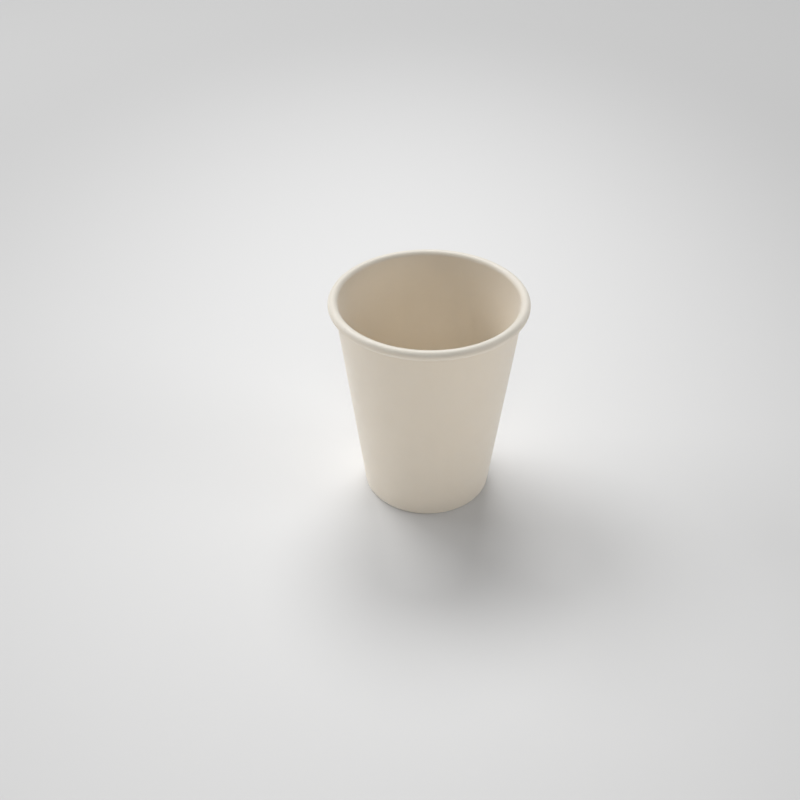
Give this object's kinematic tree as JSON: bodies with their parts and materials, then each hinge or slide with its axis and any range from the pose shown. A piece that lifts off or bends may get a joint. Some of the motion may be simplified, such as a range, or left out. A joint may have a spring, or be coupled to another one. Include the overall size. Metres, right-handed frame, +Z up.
{
  "type": "reusable plastic cup",
  "caption": "Tapered round drinking cup in plain off-white plastic, with a smooth round rim and a raised floor inside a standing foot ring.",
  "frame": {"origin": "centre of the foot ring, on the table that the cup stands on", "axes": "+Z up along the cup's axis, towards the open mouth; X and Y are any two level directions"},
  "size_m": [0.08, 0.08, 0.092],
  "materials": {
    "cup_plastic": "satin off-white moulded polypropylene"
  },
  "bodies": {
    "root": {"cup": "cup_plastic"}
  },
  "joints": []
}
